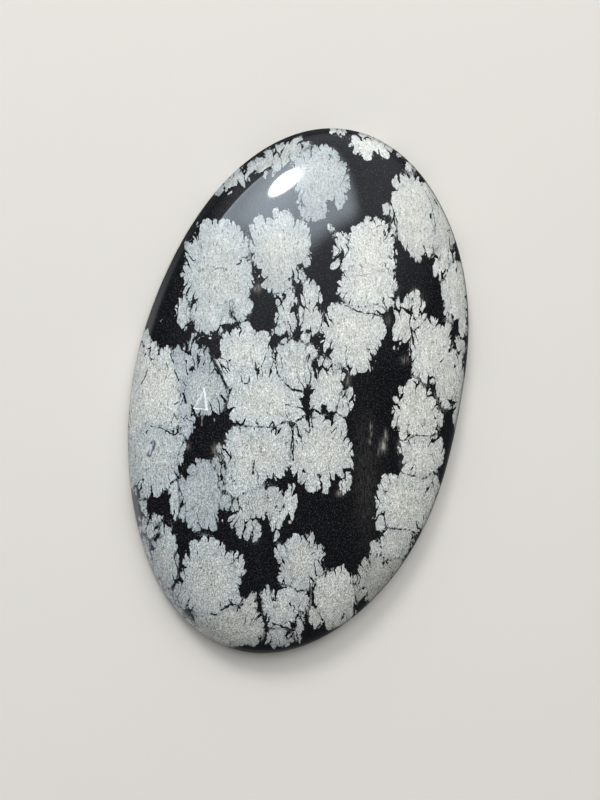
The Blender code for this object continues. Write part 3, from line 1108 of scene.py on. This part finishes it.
# %% The floor
FLOOR_SIZE = 1.2
FLOOR_DROP = 0.00002
FLOOR_COLOUR = "#CFCBC4"
CARD_ROUGHNESS = 0.8
bpy.ops.mesh.primitive_plane_add(size=FLOOR_SIZE, location=(0.0, 0.0, -FLOOR_DROP))
floor = bpy.context.object
floor.name = "floor"
floor_material = new_material("pale_matte_card")
tree = floor_material.node_tree
card = add("BsdfPrincipled", {"Base Color": linear(FLOOR_COLOUR), "Roughness": CARD_ROUGHNESS})
add("OutputMaterial", (card,))
floor.data.materials.append(floor_material)
floor.visible_glossy = False
floor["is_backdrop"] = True
print("the floor is", FLOOR_SIZE, "m wide")

# %% [markdown]
# The polish mirrors a window over the upper left of the dome, and a brighter oval lamp within it.
# Such a reflection is the strongest sign of a gloss, so both lights are placed from it: the line of
# sight through the reflection's pixel is mirrored by the dome, and the light stands on that line.
# Three broad lamps that the stone doesn't mirror give the soft light round about. The overhead one
# makes the upper half brightest, and the weak ones in front and on the window's side keep the lower
# and left parts from going dull.

# %% Lamps placed by their reflection


def mirrored_place(x, y, distance):
    """Where a lamp has to be for the stone to mirror it at that pixel of the picture."""
    point, normal = surface_at(x, y)
    direction = ray_through(x, y)
    return point + distance * direction.reflect(normal)


def add_lamp(name, place, target, size, watts, shape="RECTANGLE", diffuse=True, glossy=True):
    data = bpy.data.lights.new(name, "AREA")
    data.shape = shape
    data.size, data.size_y = size
    data.energy = watts
    lamp = bpy.data.objects.new(name, data)
    lamp.location = place
    lamp.rotation_euler = (Vector(target) - Vector(place)).to_track_quat("-Z", "Y").to_euler()
    lamp.visible_diffuse = diffuse
    lamp.visible_glossy = glossy
    bpy.context.scene.collection.objects.link(lamp)
    return lamp


KEY_PIXEL = (286, 180)
KEY_DISTANCE = 0.45
KEY_SIZE = (0.125, 0.115)
KEY_WATTS = 1.0
WINDOW_PIXEL = (283, 195)
WINDOW_DISTANCE = 0.46
WINDOW_SIZE = (0.585, 0.50)
WINDOW_WATTS = 5.1
WINDOW_COLOUR = "#E4F3FF"
SOFT_LAMP_SIZE = (0.4, 0.4)
SOFT_LAMPS = (
    ("overhead", (0.05, 0.30, 0.42), 1.62),
    ("front_fill", (0.05, -0.45, 0.30), 0.46),
    ("window_side_fill", (-0.30, 0.08, 0.34), 0.33),
)
bpy.context.view_layer.update()
for name, place, watts in SOFT_LAMPS:
    add_lamp(name, place, (0, 0, 0), SOFT_LAMP_SIZE, watts, glossy=False)
key_place = mirrored_place(*KEY_PIXEL, KEY_DISTANCE)
key_target, _ = surface_at(*KEY_PIXEL)
add_lamp("key", key_place, key_target, KEY_SIZE, KEY_WATTS, "ELLIPSE")
window_place = mirrored_place(*WINDOW_PIXEL, WINDOW_DISTANCE)
window_target, _ = surface_at(*WINDOW_PIXEL)
window = add_lamp("window", window_place, window_target, WINDOW_SIZE, WINDOW_WATTS, diffuse=False)
window.data.color = linear(WINDOW_COLOUR)[:3]
print("the key lamp stands at", [round(c, 3) for c in key_place], "m")

# %% [markdown]
# A real window isn't an even white sheet. In the photo its lower edge is crisp and a bit brighter,
# the others fade away, its far corner is cut off, and it glows round the lamp. A lamp can have nodes
# too, and the Parametric output runs from 0 to 1 over it both ways, so each edge is a short ramp, and
# the ramps are multiplied.

# %% The window's edges
CRISP_SHARE = 0.02
FUZZY_SHARE = 0.14
CORNER_LEAN = 0.6
CORNER_CUT = (0.94, 1.13)
FRAME_SHARE = 0.07
FRAME_GLOW = 1.5
KEY_ON_WINDOW = (0.474, 0.41, 0.0)
KEY_GLOW = 1.5
KEY_GLOW_ENDS = (0.07, 0.20)
window.data.use_nodes = True
tree = window.data.node_tree
tree.nodes.clear()
across_window = add("NewGeometry", output="Parametric")
along = add("SeparateXYZ", (across_window,))
upright = add("SeparateXYZ", (across_window,), 1)
glow = add("MapRange", (along, 0.0, FUZZY_SHARE, 0.0, 1.0), interpolation_type="SMOOTHSTEP")
low_side = add("MapRange", (upright, 0.0, CRISP_SHARE, 0.0, 1.0), interpolation_type="SMOOTHSTEP")
high_ends = (upright, 1.0, 1.0 - FUZZY_SHARE, 0.0, 1.0)
high_side = add("MapRange", high_ends, interpolation_type="SMOOTHSTEP")
far_corner = add("Math", (upright, CORNER_LEAN, along), operation="MULTIPLY_ADD")
corner_ends = (far_corner, *CORNER_CUT, 1.0, 0.0)
far_corner = add("MapRange", corner_ends, interpolation_type="SMOOTHSTEP")
frame_line = add("MapRange", (upright, CRISP_SHARE, FRAME_SHARE, FRAME_GLOW, 1.0))
from_key = add("VectorMath", (across_window, KEY_ON_WINDOW), operation="SUBTRACT")
from_key = add("VectorMath", (from_key, (*WINDOW_SIZE, 0.0)), operation="MULTIPLY")
from_key = add("VectorMath", (from_key,), "Value", operation="LENGTH")
round_key = add("MapRange", (from_key, *KEY_GLOW_ENDS, KEY_GLOW, 1.0))
for share in (low_side, high_side, far_corner, frame_line, round_key):
    glow = add("Math", (glow, share), operation="MULTIPLY")
add("OutputLight", (add("Emission", {"Strength": glow}),))
print("the window's nodes:", len(tree.nodes))

# %% [markdown]
# The rest of the room is dim, and the polish shows it all the same. With nothing round it to mirror,
# black glass would be a flat black hole. The room is brightest beyond the stone's upper end, and it
# is pale low on the left, where the left girdle mirrors it. Each is a soft round glow about one
# direction.

# %% The surroundings
ROOM_COLOUR = "#E4E9EE"
ROOM_DIM = 0.08
ROOM_GLOW = (-0.15, 0.85, 0.50)
GLOW_STRENGTH = 0.90
BRIGHT_SIDE = (-0.60, -0.45, -0.66)
SIDE_STRENGTH = 0.75
world = bpy.data.worlds.new("dim room")
world.use_nodes = True
tree = world.node_tree
tree.nodes.clear()
direction = add("TexCoord", output="Generated")
towards_glow = add("VectorMath", (direction, ROOM_GLOW), "Value", operation="DOT_PRODUCT")
glow_ends = (towards_glow, 0.35, 0.85, ROOM_DIM, GLOW_STRENGTH)
room = add("MapRange", glow_ends, interpolation_type="SMOOTHSTEP")
towards_side = add("VectorMath", (direction, BRIGHT_SIDE), "Value", operation="DOT_PRODUCT")
side_ends = (towards_side, 0.70, 0.95, ROOM_DIM, SIDE_STRENGTH)
side = add("MapRange", side_ends, interpolation_type="SMOOTHSTEP")
room = add("Math", (room, side), operation="MAXIMUM")
background = add("Background", {"Color": linear(ROOM_COLOUR), "Strength": room})
add("OutputWorld", (background,))
bpy.context.scene.world = world
bpy.context.scene.view_settings.view_transform = "Standard"
print("the room's light runs from", ROOM_DIM, "to", GLOW_STRENGTH)

# %% [markdown]
# The outer sizes of the plain solid and of the dressed stone are kept side by side, so that anyone
# can see that they are the same.

# %% Sizes, then the end
lowest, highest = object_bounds()
print("the dressed stone is", np.round(np.subtract(highest, lowest) / MM, 2), "mm")
